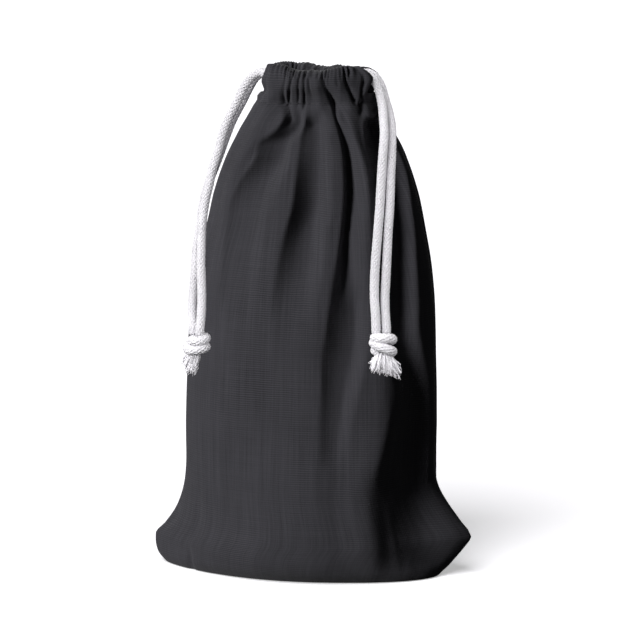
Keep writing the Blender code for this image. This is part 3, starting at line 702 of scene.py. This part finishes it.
# creases and ridges, from the rim down: height, x, depth outward, reach to the left and to the right
creases = {
    "front": (
        # the casing's gathers and the shoulder below them
        ("soft", ((301, -19, 0.8, 6, 6), (290, -20, 1.2, 7, 7), (280, -20, 1.6, 8, 8),
            (270, -24, 1.6, 9, 9), (258, -31, 1.4, 10, 9), (240, -40, 0.8, 10, 9), (215, -46, 0, 9, 9))),
        ("soft", ((301, -22.6, -0.6, 2, 3), (292, -25, -1, 3, 3), (284, -27, -1.2, 3, 4),
            (276, -28, 0, 3, 4))),
        ("slit", ((301, -9.6, -0.8, 2.4, 1.6), (292, -10.6, -1.1, 2.2, 1.2), (286, -11.8, -1.8, 2.8, 1.4),
            (281, -12, -2.8, 3, 2), (276, -10, -4, 2.4, 3.4), (270, -9, -3, 3, 4), (264, -14, 0, 3, 4))),
        # the long fold that runs down to the left
        ("fall", ((279, -4, 0, 6, 3), (275, -3, -3.4, 7, 4), (270, -2.6, -7.4, 9, 4.6),
            (263, -5.4, -9.8, 12, 6), (258, -11, -10.2, 13.4, 8), (247, -15, -10, 13.4, 11),
            (235, -22, -8.6, 14.6, 13), (220, -27.6, -6.4, 16, 14), (203, -31, -5, 15, 15),
            (180, -32, -2.8, 15, 15), (150, -32, 0, 15, 15))),
        ("soft", ((266, -22, 0, 8, 6), (256, -29, 1.8, 9, 6), (240, -38, 1.8, 9, 7),
            (215, -46, 1.2, 9, 8), (180, -48, 0, 9, 9))),
        ("slit", ((301, -5.4, -1.6, 1.6, 1.4), (291, -7, -2, 1.8, 1.6), (285.6, -8.6, -2.6, 2, 2),
            (280, -9.4, -2.4, 1.8, 2.4), (274, -8.4, 0, 2, 3))),
        ("slit", ((301, -1.8, -1, 1.2, 1.2), (291, -2.4, -1.4, 1.4, 1.4), (282.7, -3.4, -1.5, 1.4, 1.6),
            (276, -4.6, 0, 1.4, 1.6))),
        ("slit", ((301, 1.6, -1.2, 1.2, 1.2), (290, 1, -1.3, 1.1, 1.1), (281.7, 0.2, -2.2, 1.6, 1.4),
            (277, -0.2, -2.2, 1.8, 2.2), (273, -0.4, 0, 1.8, 2.4))),
        ("slit", ((300, 3, -0.2, 1.2, 1.2), (290, 4, -1.3, 1.2, 1.4), (282, 5, 0, 1.2, 1.6))),
        ("soft", ((301, 7.6, 0.6, 4, 4), (290, 8.6, 1.4, 5, 5), (280, 9.6, 1.8, 6, 6),
            (273, 9, 1.2, 6, 7), (264, 13, 0.8, 6, 7), (250, 17, 0, 7, 7))),
        # the deep fold right of the middle, from the rim down
        ("slit", ((301, 10.4, -1, 1.2, 1.2), (292.3, 12.4, -1.5, 1.3, 1.4), (287.6, 13.8, -1.7, 1.3, 1.6),
            (284.6, 15, -3.6, 1.8, 4.8), (280.5, 16.6, -6, 2.4, 6), (277, 18, -5, 2.4, 3.4),
            (272, 19.6, -3, 2.2, 2.4), (264.7, 23.2, -4.4, 3, 4.4), (256, 26.4, -6.2, 3.2, 7.4),
            (247.7, 28, -7.4, 3.2, 9.6), (236.4, 29.4, -7.8, 3.4, 11.6), (225, 30, -7.8, 3.6, 12.4),
            (213.7, 29.4, -7.2, 3.6, 12.4), (202.4, 28.8, -6.6, 3.8, 12.4), (190.9, 28.4, -5.4, 4.4, 12),
            (179.5, 28, -3.6, 5, 11), (166, 27.6, 0, 6, 10))),
        # where it goes on down the front
        ("fall", ((204, 31, 0, 6, 9), (190, 32.6, -2.8, 9, 9), (178, 34, -5.6, 12.6, 8),
            (166, 35.4, -8, 15.4, 8), (152, 35.6, -8, 17.4, 8), (137, 34, -7.4, 18, 9),
            (122, 31, -6, 15, 9), (109, 28.6, -5, 13, 9), (95, 26.4, -3.6, 11, 9), (80, 25, -2.2, 9, 9),
            (66, 24, 0, 8, 8))),
        ("soft", ((301, 18, 0.6, 5, 5), (290, 20, 1.4, 6, 6), (281, 23.6, 1.8, 5, 6),
            (270, 27.4, 1.8, 4, 6), (258, 31.6, 2.2, 4, 5), (246, 36, 2.4, 5, 5), (225, 39.6, 2.2, 6, 5),
            (196, 41, 1.6, 8, 6), (160, 42, 0, 9, 8))),
        ("slit", ((296, 18.6, 0, 1.2, 1.2), (294, 19.2, -0.9, 1.4, 1.4), (291, 20, -0.9, 1.4, 1.4),
            (289, 20.4, 0, 1.6, 1.4))),
        ("slit", ((301, 23.2, -1.2, 1.2, 1.4), (292, 24.6, -1.9, 1.4, 1.8), (287.6, 26.2, -2.5, 1.5, 2),
            (281, 28.4, -3.6, 2, 2.6), (276, 30.8, -3.2, 2, 4.6), (271, 32.4, 0, 2.2, 5))),
        # the steep edge beside the right strands
        ("fall", ((279, 40, 0, 10, 5), (275, 40.6, -4.4, 10, 5), (271, 41.6, -8.4, 10.6, 5),
            (266, 43, -10.6, 11, 6), (259, 46.4, -12, 13.4, 7), (242.2, 54.4, -11.4, 18, 7),
            (230.7, 57, -11.2, 18, 7), (219, 58.8, -10.6, 18, 7), (206, 60.4, -10.2, 18, 8),
            (190, 61.4, -10, 18.4, 8), (166, 62.4, -9.6, 18.4, 9), (150, 62.6, -8.6, 18, 9),
            (130, 65.4, -5.4, 16, 12), (112, 68, -2.6, 15, 14), (98, 69, 0, 16, 15))),
        # the hollow above the right ear
        ("soft", ((134, 67, 0, 18, 14), (112, 69, -4.6, 20, 15), (95, 69, -7.6, 25, 18),
            (75, 67.6, -8.2, 29, 22), (50, 69, -6.8, 30, 24), (26, 72, -5, 32, 26),
            (12, 75, -3.6, 30, 26), (3, 78, -1.2, 26, 24))),
        ("slit", ((301, 29.6, -1.2, 1.2, 1.2), (291, 30.2, -2, 1.3, 1.3), (284, 30.8, -2, 1.4, 1.4),
            (280, 32, 0, 1.6, 1.6))),
        ("soft", ((287, 35, 0, 4, 5), (282, 36.4, 3, 5, 5), (277, 38, 4.4, 5, 5), (272, 40, 3, 5, 4),
            (266, 43, 0, 4, 4))),
        # the swelling low on the right
        ("soft", ((150, 47, 0, 12, 12), (124, 50, 1.6, 14, 12), (100, 51, 2.8, 18, 13),
            (80, 48.6, 3.4, 20, 14), (63, 42, 4, 20, 15), (51, 40.5, 4, 20, 15), (28, 43, 3.6, 20, 15),
            (12, 45, 2, 18, 12), (3, 47, 0, 14, 10))),
        ("soft", ((70, 50, 0, 4, 4), (50, 52.4, 0.35, 5, 4.6), (22, 57, 0.5, 5, 5), (5, 60, 0, 5, 5))),
        # the broad fold in the middle
        ("fall", ((277, 8, 0, 6, 5), (272, 9.4, -3.6, 7.4, 6), (266, 10, -6.4, 9.4, 8),
            (260, 10.4, -5, 10, 8), (253, 10.8, -5, 11, 9), (240, 10.8, -7.4, 12, 10),
            (230, 10.6, -9.4, 12.6, 11), (220, 10, -10.4, 13, 12), (208, 8, -10.4, 14, 12),
            (195, 6.4, -8.8, 15, 13), (180, 4.4, -5.8, 15.4, 14), (166, 2.6, -2.8, 16, 14),
            (142, 1, 0, 16, 14))),
        ("soft", ((64, -61, 0, 5, 6), (40, -62.6, -1.2, 5, 7), (8, -64.6, 0, 5, 6))),
        ("soft", ((60, -40, 0, 5, 7), (36, -40.8, -0.9, 5, 8), (8, -41, 0, 5, 6))),
    ),
    "back": (
        # gathers, three of them long
        ("sharp", ((301, -17, -1.8, 3, 3), (286, -18, -2.6, 3, 3), (279, -20, -3.2, 5, 4),
            (244, -30, -4.2, 11, 7), (200, -36, -3.4, 13, 9), (146, -38, 0, 14, 14))),
        ("sharp", ((301, -12, -1.4, 2, 2), (285, -13, -2, 2.4, 2.4), (272, -14, 0, 4, 4))),
        ("sharp", ((301, -6, -1.6, 2.2, 2.2), (285, -7, -2.4, 2.6, 2.6), (266, -9, 0, 5, 5))),
        ("sharp", ((301, 0, -1.8, 2.2, 2.2), (286, 0, -2.6, 3, 3), (279, 0, -3, 4, 4),
            (238, -4, -4.6, 7, 11), (194, -3, -3.6, 8, 13), (116, 3, 0, 12, 13))),
        ("sharp", ((301, 6, -1.4, 2, 2), (285, 6.6, -2.2, 2.4, 2.4), (268, 9, 0, 4, 4))),
        ("sharp", ((301, 11.5, -1.4, 1.8, 1.8), (285, 12, -1.9, 2.2, 2.2), (272, 14, 0, 4, 4))),
        ("sharp", ((301, 17, -1.6, 2.2, 2.2), (285, 18, -2.4, 2.6, 2.6), (266, 21, 0, 5, 5))),
        ("sharp", ((301, 24, -1.8, 2.4, 2.4), (279, 26, -3.2, 4, 5), (242, 32, -4.2, 8, 11),
            (200, 36, -3.4, 9, 13), (154, 34, 0, 13, 13))),
        # hollows above the sole
        ("soft", ((136, 46, 0, 12, 12), (88, 48, -3.4, 14, 14), (38, 44, -2, 12, 12),
            (6, 42, 0, 10, 10))),
        ("soft", ((120, -40, 0, 14, 14), (74, -44, -3, 14, 16), (30, -47, -2, 12, 12),
            (6, -48, 0, 9, 9))),
    ),
}
# a ridge of the front pushed straight forward: height, x, push, reach to the left and to the right
ridge = (
    (262, 60, 0, 6, 8), (250, 66, 2.6, 6, 8), (236, 70.4, 5.4, 7, 8), (224, 72.8, 7, 7.6, 8),
    (207, 75.2, 8.6, 8.4, 8), (189, 77.6, 8.8, 9.6, 8), (166, 80, 8.4, 11, 8), (148, 81.4, 5.6, 11.4, 8),
    (128, 80, 3, 10, 7), (112, 79, 0, 8, 7),
)
# short dents: panel, height, x, depth, half height, half width, slope of its long side
dents = (
    ("front", 267.2, 5.4, -1.5, 4.4, 6, 0),
    ("front", 278, -6.2, -1.2, 1.6, 3.2, -0.5),
    ("front", 26.4, -85, -1.2, 1.8, 8, 0.36),
    ("front", 6, -69, -2, 6, 2.4, 0),
    ("front", 104, -20, -1, 26, 18, 0),
    ("front", 60, 2, 0.8, 22, 26, 0),
    ("back", 120, -12, 1.2, 40, 24, 0),
    ("back", 24, 78, -1.2, 2, 8, -0.3),
)
# rise of the rim above or below its usual height
rims = {
    "front": ((-30, 1), (-22, 1.4), (-13, 1.2), (-8, -0.9), (-2, -1.9), (4, -1.6), (9, -1.9), (13, -1.2),
        (18, 0.2), (22, 0.9), (27, 0.2), (31, -1.6), (35, -3), (40, -3)),
    "back": ((-30, 0.4), (-22, 1.4), (-15.5, 1.9), (-11, 1), (-6, 1.4), (0.5, -0.2), (7, -0.8), (13, 0.2),
        (17, -0.6), (24, -0.6), (32, -0.8), (40, -0.8)),
}
ruffle = {
    "depth": 0.8,
    "from": 13.5,               # the ruffle grows between these two rises above the stitches
    "full": 18.0,
    "lift": 0.35,               # how far its waves rise as well
    "waves": {"front": 31.0, "back": 35.0},
    "start": {"front": 0.4, "back": 2.2},
    "drift": (0.9, 17.0),       # how far and how often the waves stray from even
    "swell": (0.7, 0.3, 41.0),  # a wave's usual depth, how much that changes, and how often
}
stitchGroove = {"depth": 1.5, "reach": 1.6, "left": -24.0, "right": 25.0, "fade": 3.0}
unevenness = (                  # depth in millimetres, size across, size upward
    ("broad", 0.55, 26.0, 60.0),
    ("fine", 0.16, 6.0, 16.0),
)
crowdMiddle, crowdReach, crowdMore = bag["crowd"]
density = 1.0 + crowdMore * np.exp(-((np.linspace(0.0, 1.0, bag["columns"]) - crowdMiddle) / crowdReach) ** 2)
shares = np.concatenate(((0.0,), np.cumsum(density))) / density.sum()       # where each column lies, 0 to 1
openFrom, openTo = (int(np.searchsorted(shares, edge)) for edge in (bag["slit"], 1.0 - bag["slit"]))


def panelOutline(left, right, depth, edgeLeft, edgeRight):
    # one panel's line in plan at one height, from the left seam to the right
    sine = np.sin(np.linspace(-math.pi / 2, math.pi / 2, 721))
    cosine = np.sqrt(np.clip(1.0 - sine * sine, 0.0, 1.0))
    edge = edgeLeft + (edgeRight - edgeLeft) * ease((sine + 1.0) / 2.0)
    spread = bag["seamSpread"] * np.clip(edge - 1.0, 0.0, 1.0) * np.sqrt(1.0 - np.abs(sine) ** 16)
    reach = np.where(sine < 0.0, left, right)
    return pointsAt(np.column_stack((reach * sine, depth * cosine ** edge + spread)), shares)


def channelLine():
    # the middle of the casing's channel over one panel, with its outward normals
    straight, radius = bag["channelStraight"], bag["channelRadius"]
    bend = np.linspace(0.0, math.pi / 2, 91)
    quarter = np.column_stack((straight + radius * np.sin(bend), radius * np.cos(bend)))
    points = pointsAt(np.concatenate((quarter[::-1] * (-1.0, 1.0), quarter)), shares)
    away = points - np.column_stack((np.clip(points[:, 0], -straight, straight), np.zeros(len(points))))
    return points, away / np.linalg.norm(away, axis=1)[:, None]


def planNormals(line):
    # outward normals in plan of a panel that runs from the left seam to the right with y growing outward
    along = np.gradient(line, axis=0)
    normals = np.column_stack((-along[:, 1], along[:, 0]))
    return normals / np.linalg.norm(normals, axis=1)[:, None]


def nearness(away, left, right):
    # 1 on a crease, falling to 0 at its reach to the left and to the right
    return np.clip(1.0 - np.abs(away) / np.where(away < 0.0, left, right), 0.0, 1.0)


# a crease's cross-section by its nearness: round, pinched, narrow, or steep on its right side only
creaseShapes = {
    "soft": lambda inside, away: ease(inside),
    "sharp": lambda inside, away: 0.45 * ease(inside) + 0.55 * inside ** 1.6,
    "slit": lambda inside, away: 0.35 * ease(inside) + 0.65 * inside ** 2.0,
    "fall": lambda inside, away: np.where(away < 0.0, 1.0 - (1.0 - inside) ** 2, ease(inside)),
}


def creaseShift(panel, line, level):
    # how far the creases move each column outward where the cloth is at this height
    along = alongLine(line)
    shift = np.zeros(len(line))
    for kind, path in creases[panel]:
        if path[-1][0] < level <= path[0][0]:
            x, depth, left, right = smoothTable(path[::-1], level)[0]
            away = along - np.interp(x, line[:, 0], along)
            shift += depth * creaseShapes[kind](nearness(away, left, right), away)
    for side, height, x, depth, tall, wide, slope in dents:
        if side == panel and abs(level - height) < 3.0 * (tall + wide * abs(slope)):
            away = along - np.interp(x, line[:, 0], along)
            shift += depth * np.exp(-(((level - height - slope * away) / tall) ** 2 + (away / wide) ** 2))
    groove = stitchGroove["depth"] * math.exp(-((level - bag["stitchHeight"]) / stitchGroove["reach"]) ** 2)
    ends = ease((stitchGroove["left"] - line[:, 0]) / stitchGroove["fade"])
    return shift - groove * (ends + ease((line[:, 0] - stitchGroove["right"]) / stitchGroove["fade"]))


def ridgePush(line, level):
    # the forward push of the ridge, by x alone
    if not ridge[-1][0] < level <= ridge[0][0]:
        return np.zeros(len(line))
    x, depth, left, right = smoothTable(ridge[::-1], level)[0]
    return depth * ease(nearness(line[:, 0] - x, left, right))


def endPush(normals, level):
    # the outward push on the two round ends
    left, right = (smoothTable(endPushes[side], level)[0, 0] for side in ("left", "right"))
    return np.where(normals[:, 0] < 0.0, left, right) * ease((np.abs(normals[:, 0]) - 0.3) / 0.5)


def wander(name, line, level):
    # smooth unevenness of the cloth, broad and fine
    total = np.zeros(len(line))
    for label, depth, across, upward in unevenness:
        origin = Vector((sum(map(ord, name + label)) * 1.37, 4.1, 0.0))
        total += depth * np.array([noise.noise(Vector((x / across, y / across, level / upward)) + origin)
                                   for x, y in line])
    return total


def bodyHeights():
    # heights of the body's rows, closer together at the ears and where the gathers are
    low, gathers = bag["earTop"], bag["gathersFrom"]
    return np.concatenate((np.arange(bag["soleEdge"], low, bag["earStep"]), (low,),
                           np.linspace(low, gathers, bag["middleRows"])[1:],
                           np.linspace(gathers, bag["stitchHeight"], bag["gatherRows"])[1:]))


def bodySurface(panel, toward, seam):
    # rows of the outer face from the sole to the stitches
    keys = [row[0] for row in sectionTable] + [bag["stitchHeight"]]
    table = [panelOutline(row[1], row[2], row[3 if panel == "front" else 4], *row[5:]).ravel()
             for row in sectionTable] + [seam.ravel()]
    heights = bodyHeights()
    lines = smoothTable(np.column_stack((keys, np.array(table))), heights).reshape(len(heights), -1, 2)
    rows = []
    fade = np.sin(math.pi * shares) ** 0.15
    for line, height in zip(lines, heights):
        away = planNormals(line)
        shift = (creaseShift(panel, line, height) + bag["proud"] + wander(panel, line, height)) * fade
        moved = line + away * (shift + endPush(away, height))[:, None]
        if panel == "front":
            moved[:, 1] += ridgePush(line, height) * fade
        rows.append(np.column_stack((moved[:, 0], moved[:, 1] * toward, np.full(len(line), height))))
    return np.array(rows)


def casingSurface(panel, toward, channel, normals, middle):
    # rows up the outside of the casing, over the ruffled rim and down the hem
    profile = pointsAt(smoothLine(casingTable), np.linspace(0.0, 1.0, bag["casingRows"]))[1:]
    far, often = ruffle["drift"]
    even, swell, beat = ruffle["swell"]
    phase = shares * ruffle["waves"][panel] + far * np.sin(shares * often + ruffle["start"][panel])
    frill = np.sin(fullTurn * phase) * (even + swell * np.sin(shares * beat))
    lift = smoothTable(rims[panel], (channel + middle)[:, 0])[:, 0] + ruffle["lift"] * frill
    hookShare = ease(1.0 - (1.0 - bag["slit"] - shares) / bag["hookReach"])
    outerLine = channel + normals * bag["casingReach"] + middle
    low, high = bag["bulgeRise"]
    rows = []
    for offset, rise in profile:
        outside = offset / bag["casingReach"]
        level = bag["stitchHeight"] + rise
        crossing = ease(1.5 - np.abs(channel[:, 0]) / bag["crossing"]) * ease((rise - low) / (high - low))
        edge = float(ease((rise - ruffle["from"]) / (ruffle["full"] - ruffle["from"])))
        shift = (offset + bag["proud"] * np.sign(outside) + creaseShift(panel, outerLine, level)
                 + wander(panel, outerLine, level) + bag["crossingBulge"] * crossing * outside
                 + endPush(normals, level) * max(outside, 0.3) + ruffle["depth"] * edge * frill)
        moved = channel + middle + normals * shift[:, None]
        moved[:, 0] += smoothTable(hooks, level)[0, 0] * hookShare
        rows.append(np.column_stack((moved[:, 0], moved[:, 1] * toward, level + edge * lift)))
    # the rows below the slits, up the outside only
    closed = sum(rise < bag["slitRise"] and offset > 0.0 for offset, rise in profile[:bag["casingRows"] // 2])
    return np.array(rows), closed


def panelSurface(panel, toward):
    # the outer face of one panel in two parts: closed at the side seams, and open above the slits
    channel, normals = channelLine()
    middle = np.array((bag["mouthX"], 0.0))
    bodyPart = bodySurface(panel, toward, channel + normals * casingTable[0][0] + middle)
    casingPart, closed = casingSurface(panel, toward, channel, normals, middle)
    edge = bodyPart[0]
    wide, deep, rise = bag["turnIn"]
    turned = [edge * (*bag["soleShrink"], 0.0), edge * (wide, deep, 0.0) + (0.0, 0.0, rise)]
    return np.concatenate((turned, bodyPart, casingPart[:closed])), casingPart[closed:]


def makeCloth():
    verts, faces, uvs = [], [], []

    def addRow(points):
        first = len(verts)
        verts.extend(points)
        return np.arange(first, first + len(points))

    def addBetween(points, ends):
        # a row whose two end points are those of another row
        return np.concatenate((ends[:1], addRow(points[1:-1]), ends[-1:]))

    panels, ids = {}, {}
    for panel, toward in (("front", -1.0), ("back", 1.0)):
        panels[panel] = bodyPart, casingPart = panelSurface(panel, toward)
        if panel == "front":
            bodyIds = [addRow(row) for row in bodyPart]
        else:
            bodyIds = [addBetween(row, shared) for row, shared in zip(bodyPart, ids["front"][0])]
        ids[panel] = bodyIds, [addRow(row[openFrom:openTo + 1]) for row in casingPart]
    frontSole, backSole = panels["front"][0][0], panels["back"][0][0]
    soleIds = [ids["front"][0][0]]
    for share in np.arange(1, bag["soleRows"]) / bag["soleRows"]:
        soleIds.append(addBetween(frontSole * (1.0 - share) + backSole * share, soleIds[0]))
    soleIds.append(ids["back"][0][0])

    across = shares * bag["flatWidth"]

    def addStrips(ladder, v, start, flip):
        # faces between the rows of a ladder, with the weave's coordinates; shared corners are left out once
        for lower, upper, lowV, highV in zip(ladder, ladder[1:], v, v[1:]):
            for k in range(len(lower) - 1):
                near, far = across[start + k], across[start + k + 1]
                ring = [(lower[k], near, lowV), (lower[k + 1], far, lowV), (upper[k + 1], far, highV),
                        (upper[k], near, highV)]
                kept = [corner for i, corner in enumerate(ring) if corner[0] != ring[i - 1][0]]
                kept = kept[::-1] if flip else kept
                faces.append([int(corner[0]) for corner in kept])
                uvs.extend((u * mm, v * mm) for _, u, v in kept)

    soleHalf = float(np.mean(np.abs(frontSole[1:-1, 1])))
    for panel, flip, sign in (("front", False, 1.0), ("back", True, -1.0)):
        stacked = np.concatenate(panels[panel])[:, openFrom:openTo + 1]
        steps = np.linalg.norm(np.diff(stacked, axis=0), axis=2).mean(axis=1)
        v = sign * (soleHalf + np.concatenate(((0.0,), np.cumsum(steps))))
        bodyIds, casingIds = ids[panel]
        addStrips(bodyIds, v, 0, flip)
        addStrips([bodyIds[-1][openFrom:openTo + 1]] + casingIds, v[len(bodyIds) - 1:], openFrom, flip)
    addStrips(soleIds, soleHalf * (1.0 - 2.0 * np.arange(bag["soleRows"] + 1) / bag["soleRows"]), 0, True)

    mesh = bpy.data.meshes.new("bag_cloth")
    mesh.from_pydata([tuple(np.asarray(point) * mm) for point in verts], [], faces)
    mesh.uv_layers.new(name="weave").data.foreach_set("uv", np.asarray(uvs, dtype=np.float32).ravel())
    mesh.shade_smooth()
    mesh.materials.append(clothFinish)
    draft = newObject("bag_cloth", mesh)
    solid = draft.modifiers.new("thickness", "SOLIDIFY")
    solid.thickness = bag["thickness"] * mm
    solid.offset = -1.0
    mesh = bpy.data.meshes.new_from_object(draft.evaluated_get(bpy.context.evaluated_depsgraph_get()))
    mesh.name = "bag_cloth"
    for vertex in mesh.vertices:
        vertex.co.z = max(vertex.co.z, 0.0)
    bpy.data.objects.remove(draft)
    return newObject("bag_cloth", mesh), panels


cloth, panels = makeCloth()
pieces["bag_cloth"] = cloth
print("cloth made:", len(cloth.data.polygons), "faces")


stitches = {
    "step": 0.0031,
    "length": 0.0021,
    "thickness": 0.00022,
    "lift": 0.08,               # in millimetres, above the cloth
    "fromSeam": 3,              # columns left free beside each side seam
}


def makeStitchGrowth():
    # short threads laid end to end along a line, with a gap after each
    n, inputs, outputs, sockets = newGrowth("stitches", {"Step": 0.003, "Length": 0.002, "Thickness": 0.0002})
    line = n.geo("MeshToCurve", {"Mesh": inputs["Geometry"]})
    line = n.geo("ResampleCurve", {"Curve": line, "Length": inputs["Step"]}, mode="LENGTH")
    turn = n.add("FunctionNodeAlignRotationToVector", {"Vector": n.geo("InputTangent")}, axis="Z").outputs[0]
    half = n.times(inputs["Length"], 0.5)
    low, high = n.xyz(0.0, 0.0, n.times(half, -1.0)), n.xyz(0.0, 0.0, half)
    rod = n.geo("CurvePrimitiveLine", {"Start": low, "End": high})
    sewn = tubes(n, rod, inputs["Thickness"], 6)
    laid = n.geo("InstanceOnPoints", {"Points": line, "Instance": sewn, "Rotation": turn})
    finishGrowth(n, inputs, outputs, laid)
    return n, sockets


def makeStitches():
    # the row of stitches that closes the casing, across each panel
    growth = makeStitchGrowth()
    rows = []
    for panel, toward in (("front", -1.0), ("back", 1.0)):
        bodyPart = panels[panel][0]
        row = bodyPart[np.argmin(np.abs(bodyPart[:, 0, 2] - bag["stitchHeight"]))]
        row = row[stitches["fromSeam"]:-stitches["fromSeam"]]
        away = planNormals(row[:, :2] * (1.0, toward)) * (1.0, toward)
        row = row + np.column_stack((away * stitches["lift"], np.zeros(len(row))))
        rows.append(grow("stitches_" + panel, row * mm, growth, threadFinish, {
            "Step": stitches["step"], "Length": stitches["length"], "Thickness": stitches["thickness"]}))
    return joinInto("bag_stitches", rows)


pieces["bag_stitches"] = makeStitches()
print("stitches made:", len(pieces["bag_stitches"].data.polygons), "faces")


studio = {
    "sky": 0.045,
    "backdrop": 1.05,
    "floorSize": 30.0,
    "floorDrop": 0.0002,
    "floorGlow": 0.42,
    "lampDistance": 2.0,
    # name: azimuth, elevation, spread of the light in degrees, strength, what it lights
    "lamps": {
        "key": (-39.0, 17.0, 17.0, 3.2, "bag"),
        "back": (196.0, 25.0, 50.0, 1.2, "bag"),
        "cordKeyLeft": (-42.0, 25.0, 80.0, 3.7, "left cord"),
        "cordKeyRight": (-42.0, 25.0, 80.0, 3.4, "right cord"),
        "cordFill": (55.0, 15.0, 110.0, 2.3, "cords"),
        "knotLight": (-15.0, 20.0, 90.0, 1.0, "knots"),
        "frayLight": (-5.0, 10.0, 90.0, 1.6, "frays"),
        "floorLight": (-12.0, 44.0, 42.0, 3.7, "floor"),
    },
}


def makeFloor():
    material, n, inputs, finish = newFinish("paleFloor")
    seen = n.add("ShaderNodeLightPath").outputs["Is Camera Ray"]
    addColour(n, inputs, finish, seen)
    inputs["Emission Color"].default_value = (1.0, 1.0, 1.0, 1.0)
    n.link(n.times(seen, studio["floorGlow"]), inputs["Emission Strength"])
    half, low = studio["floorSize"] / 2.0, -studio["floorDrop"]
    mesh = bpy.data.meshes.new("floor")
    mesh.from_pydata([(-half, -half, low), (half, -half, low), (half, half, low), (-half, half, low)], [],
                     [(0, 1, 2, 3)])
    mesh.materials.append(material)
    floor = newObject("floor", mesh)
    return floor


def lampGroups(name):
    # the groups of lit pieces that a piece belongs to
    if name.startswith("bag"):
        return ["bag"]
    groups = ["cords", "left cord" if "left" in name.lower() else "right cord"]
    if name.startswith(("knot", "fray")):
        groups.append("knots")
    if name.startswith("fray"):
        groups.append("frays")
    return groups


def makeStudio():
    # distant softboxes that each light one group; on the bag only the bag itself throws shadows
    lamps = studio["lamps"]
    groups = {lamp[-1]: bpy.data.collections.new(lamp[-1]) for lamp in lamps.values()}
    groups["floor"].objects.link(makeFloor())
    for name, piece in pieces.items():
        for group in lampGroups(name):
            groups[group].objects.link(piece)
    for name, (azimuth, elevation, spread, strength, group) in lamps.items():
        light = bpy.data.lights.new(name, "SUN")
        light.energy = strength
        light.angle = math.radians(spread)
        lamp = aimedObject(name, light, (0.0, 0.0, 0.0), azimuth, elevation, studio["lampDistance"])
        lamp.light_linking.receiver_collection = groups[group]
        if group == "bag":
            lamp.light_linking.blocker_collection = groups["bag"]
    world = scene.world = bpy.data.worlds.new("studio")
    world.use_nodes = True
    n = Nodes(world.node_tree)
    backdrop = world.node_tree.nodes["Background"].inputs
    seen = n.add("ShaderNodeLightPath").outputs["Is Camera Ray"]
    strength = n.math("MULTIPLY_ADD", seen, studio["backdrop"] - studio["sky"], studio["sky"])
    n.link(strength, backdrop["Strength"])
    backdrop["Color"].default_value = (1.0, 1.0, 1.0, 1.0)
    scene.view_settings.view_transform = "Standard"


makeStudio()
print("light and floor made")

for name, piece in pieces.items():
    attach(piece, "root")
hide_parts("bag")
for side, (frontName, backName, sign) in drawstrings.items():
    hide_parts("drawstring_" + side)
    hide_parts("drawstring_" + side)
    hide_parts("drawstring_" + side)
    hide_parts("knot_" + side)
    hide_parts("fray_" + side)
    for strandName in (frontName, backName):
        line = routes[strandName]
